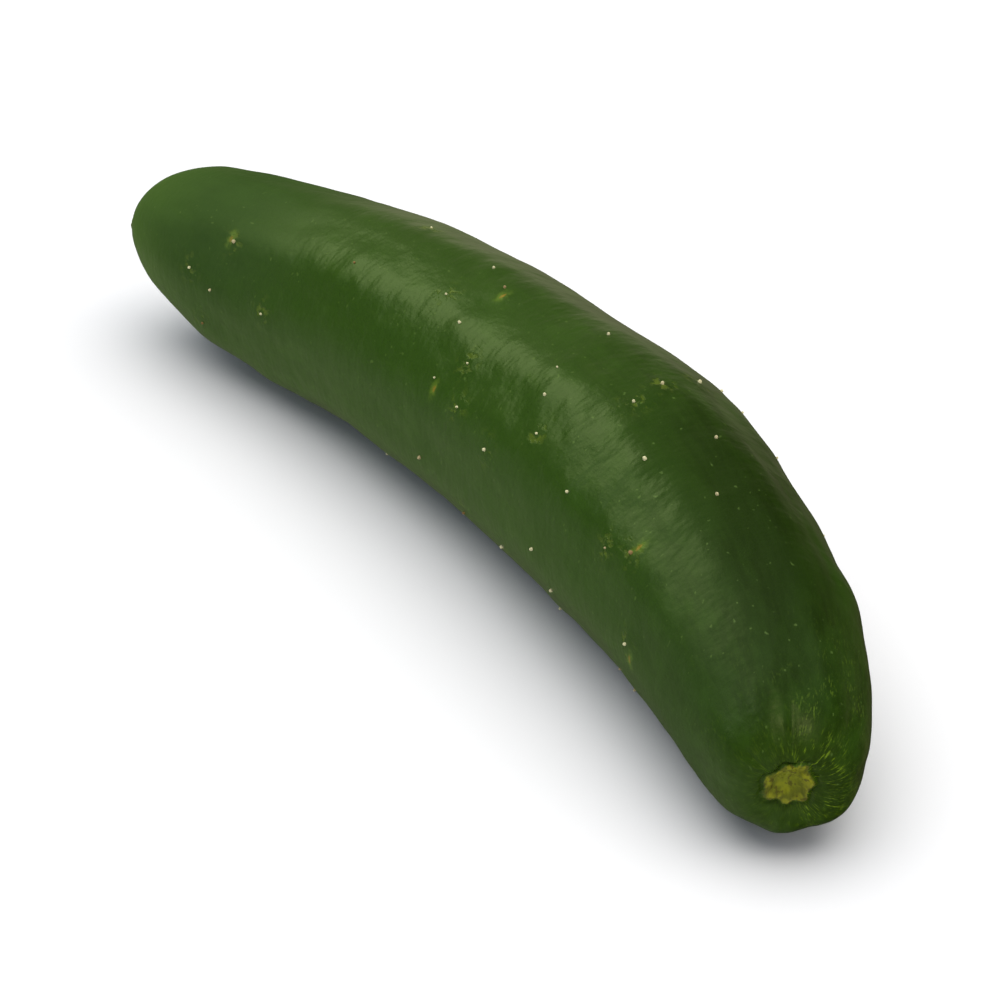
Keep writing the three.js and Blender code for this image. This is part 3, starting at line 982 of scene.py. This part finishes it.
# %% [markdown]
# ## What the wax mirrors
#
# Wax shows its surroundings, faintly and blurred, and these decide how the gloss looks. A
# real studio arranges card and cloth around the fruit for that. Here each is a glow in the
# world, brightest in one direction and fading around it, and only glossy rays see them. To
# the camera the world is a plain white wall.

# %% Glows around the fruit
CAMERA_AZIMUTH = -31.5
# Name: degrees round from the camera, degrees up, tightness, strength, colour. The colours
# of light are linear, because light can be brighter than the white of a chart.
GLOWS = {
    "card": (-95, -30, 2.0, 0.47, (0.8, 1.0, 0.5, 1)),
    "behind": (180, -5, 14.0, 0.42, (1.0, 0.92, 0.62, 1)),
    "beside": (128, -18, 14.0, 0.2, (1.0, 0.85, 0.4, 1)),
    "wall": (-165, 38, 7.0, 0.22, (0.85, 1.0, 0.5, 1)),
    "ceiling": (-70, 52, 9.0, 0.15, (0.8, 1.0, 0.5, 1)),
    "pane": (-92, 36, 75.0, 1.8, (0.8, 1.0, 0.6, 1)),
    "top": (5, 63, 70.0, 2.8, (1.0, 1.0, 0.4, 1)),
}
# The card fades out between these two heights, just over the horizon.
CARD_GONE, CARD_FULL = 0.3, 0.06
WALL_WHITE = (1, 1, 1, 1)


def direction_to(azimuth, elevation):
    """The way to a place, in degrees round from the camera and degrees up."""
    a, e = math.radians(CAMERA_AZIMUTH + azimuth), math.radians(elevation)
    return Vector((math.cos(a) * math.cos(e), math.sin(a) * math.cos(e), math.sin(e)))


world = bpy.data.worlds.new("pale_room")
world.use_nodes = True
bpy.context.scene.world = world
sky = world.node_tree
sky.nodes.clear()
sky_way = add(sky, "ShaderNodeTexCoord", {}, "Generated")
mirrored = None
for name, (azimuth, elevation, tightness, strength, tint) in GLOWS.items():
    amount = add(sky, "ShaderNodeVectorMath", {
        0: sky_way, 1: direction_to(azimuth, elevation)}, "Value", operation="DOT_PRODUCT")
    for operation, value in (("MAXIMUM", 0.0), ("POWER", tightness), ("MULTIPLY", strength)):
        amount = add(sky, "ShaderNodeMath", {0: amount, 1: value}, operation=operation)
    if name == "card":
        height = add(sky, "ShaderNodeSeparateXYZ", {"Vector": sky_way}, "Z")
        below = add(sky, "ShaderNodeMapRange", {
            "Value": height, "From Min": CARD_GONE, "From Max": CARD_FULL},
            interpolation_type="SMOOTHSTEP")
        amount = add(sky, "ShaderNodeMath", {0: amount, 1: below}, operation="MULTIPLY")
    glow = add(sky, "ShaderNodeBackground", {"Color": tint, "Strength": amount})
    mirrored = add(sky, "ShaderNodeAddShader", {0: mirrored, 1: glow}) if mirrored else glow
in_view = add(sky, "ShaderNodeLightPath", {}, "Is Camera Ray")
in_gloss = add(sky, "ShaderNodeLightPath", {}, "Is Glossy Ray")
plain_wall = add(sky, "ShaderNodeBackground", {"Color": WALL_WHITE, "Strength": in_view})
surroundings = add(sky, "ShaderNodeMixShader", {0: in_gloss, 1: plain_wall, 2: mirrored})
add(sky, "ShaderNodeOutputWorld", {"Surface": surroundings})
print("glows:", len(GLOWS))

# %% [markdown]
# ## Light
#
# The room is evenly bright, so the shadow under the fruit is soft and has no edge. Three very
# wide lamps make that light: one overhead, one from the whole room, and a weak warm one from
# the right. They are left out of the gloss, which keeps the greens deep. The one clear
# highlight comes from a soft window on the left, which in turn lights nothing but the gloss.

# %% Lamps
# Name: the way to it, degrees that it spans, strength, colour.
WIDE_LIGHTS = {
    "overhead": (direction_to(-165, 83), 86, 2.42, (1.025, 1.005, 0.955)),
    "room": (Vector((0, 0, 1)), 170, 1.08, (0.9, 0.98, 1.2)),
    "fill": (direction_to(50, 30), 90, 0.75, (1.1, 1.0, 0.85)),
}
WINDOW_WAY = direction_to(-131, 41)
WINDOW_DISTANCE = 1.2
WINDOW_SIDES = (0.74, 0.44)
WINDOW_POWER = 2.3
WINDOW_TINT = (0.82, 1.0, 0.46)


def lamp_from(way, name, kind, energy, tint):
    """A lamp that shines from that way towards the fruit."""
    light = bpy.data.lights.new(name, kind)
    light.energy = energy
    light.color = tint
    lamp = bpy.data.objects.new(name, light)
    bpy.context.collection.objects.link(lamp)
    lamp.rotation_euler = way.to_track_quat("Z", "Y").to_euler()
    return lamp, light


for name, (way, degrees, energy, tint) in WIDE_LIGHTS.items():
    lamp, light = lamp_from(way, name, "SUN", energy, tint)
    light.angle = math.radians(degrees)
    lamp.visible_glossy = False
window, light = lamp_from(WINDOW_WAY, "window", "AREA", WINDOW_POWER, WINDOW_TINT)
light.shape = "RECTANGLE"
light.size, light.size_y = WINDOW_SIDES
window.location = WINDOW_DISTANCE * WINDOW_WAY
window.visible_diffuse = False
print("lamps:", len(WIDE_LIGHTS) + 1)

# %% [markdown]
# ## Camera
#
# A long lens from a little over half a metre shows the fruit as the eye sees it on a table,
# with the blossom scar turned towards us and hardly any distortion of the ends.

# %% Camera
CAMERA_AIM = Vector((-0.0103, 0.0023, 0.0))
CAMERA_ELEVATION = 30.0
CAMERA_DISTANCE = 0.6305
SENSOR_WIDTH = 36.0
LENS_PER_SENSOR = 3.6
toward_camera = direction_to(0, CAMERA_ELEVATION)
camera_data = bpy.data.cameras.new("camera")
camera_data.sensor_width = SENSOR_WIDTH
camera_data.lens = LENS_PER_SENSOR * SENSOR_WIDTH
camera = bpy.data.objects.new("camera", camera_data)
bpy.context.collection.objects.link(camera)
camera.location = CAMERA_AIM + CAMERA_DISTANCE * toward_camera
camera.rotation_euler = toward_camera.to_track_quat("Z", "Y").to_euler()
bpy.context.scene.camera = camera
bpy.context.scene.view_settings.view_transform = "Standard"
print("camera at, m:", [round(value, 3) for value in camera.location])
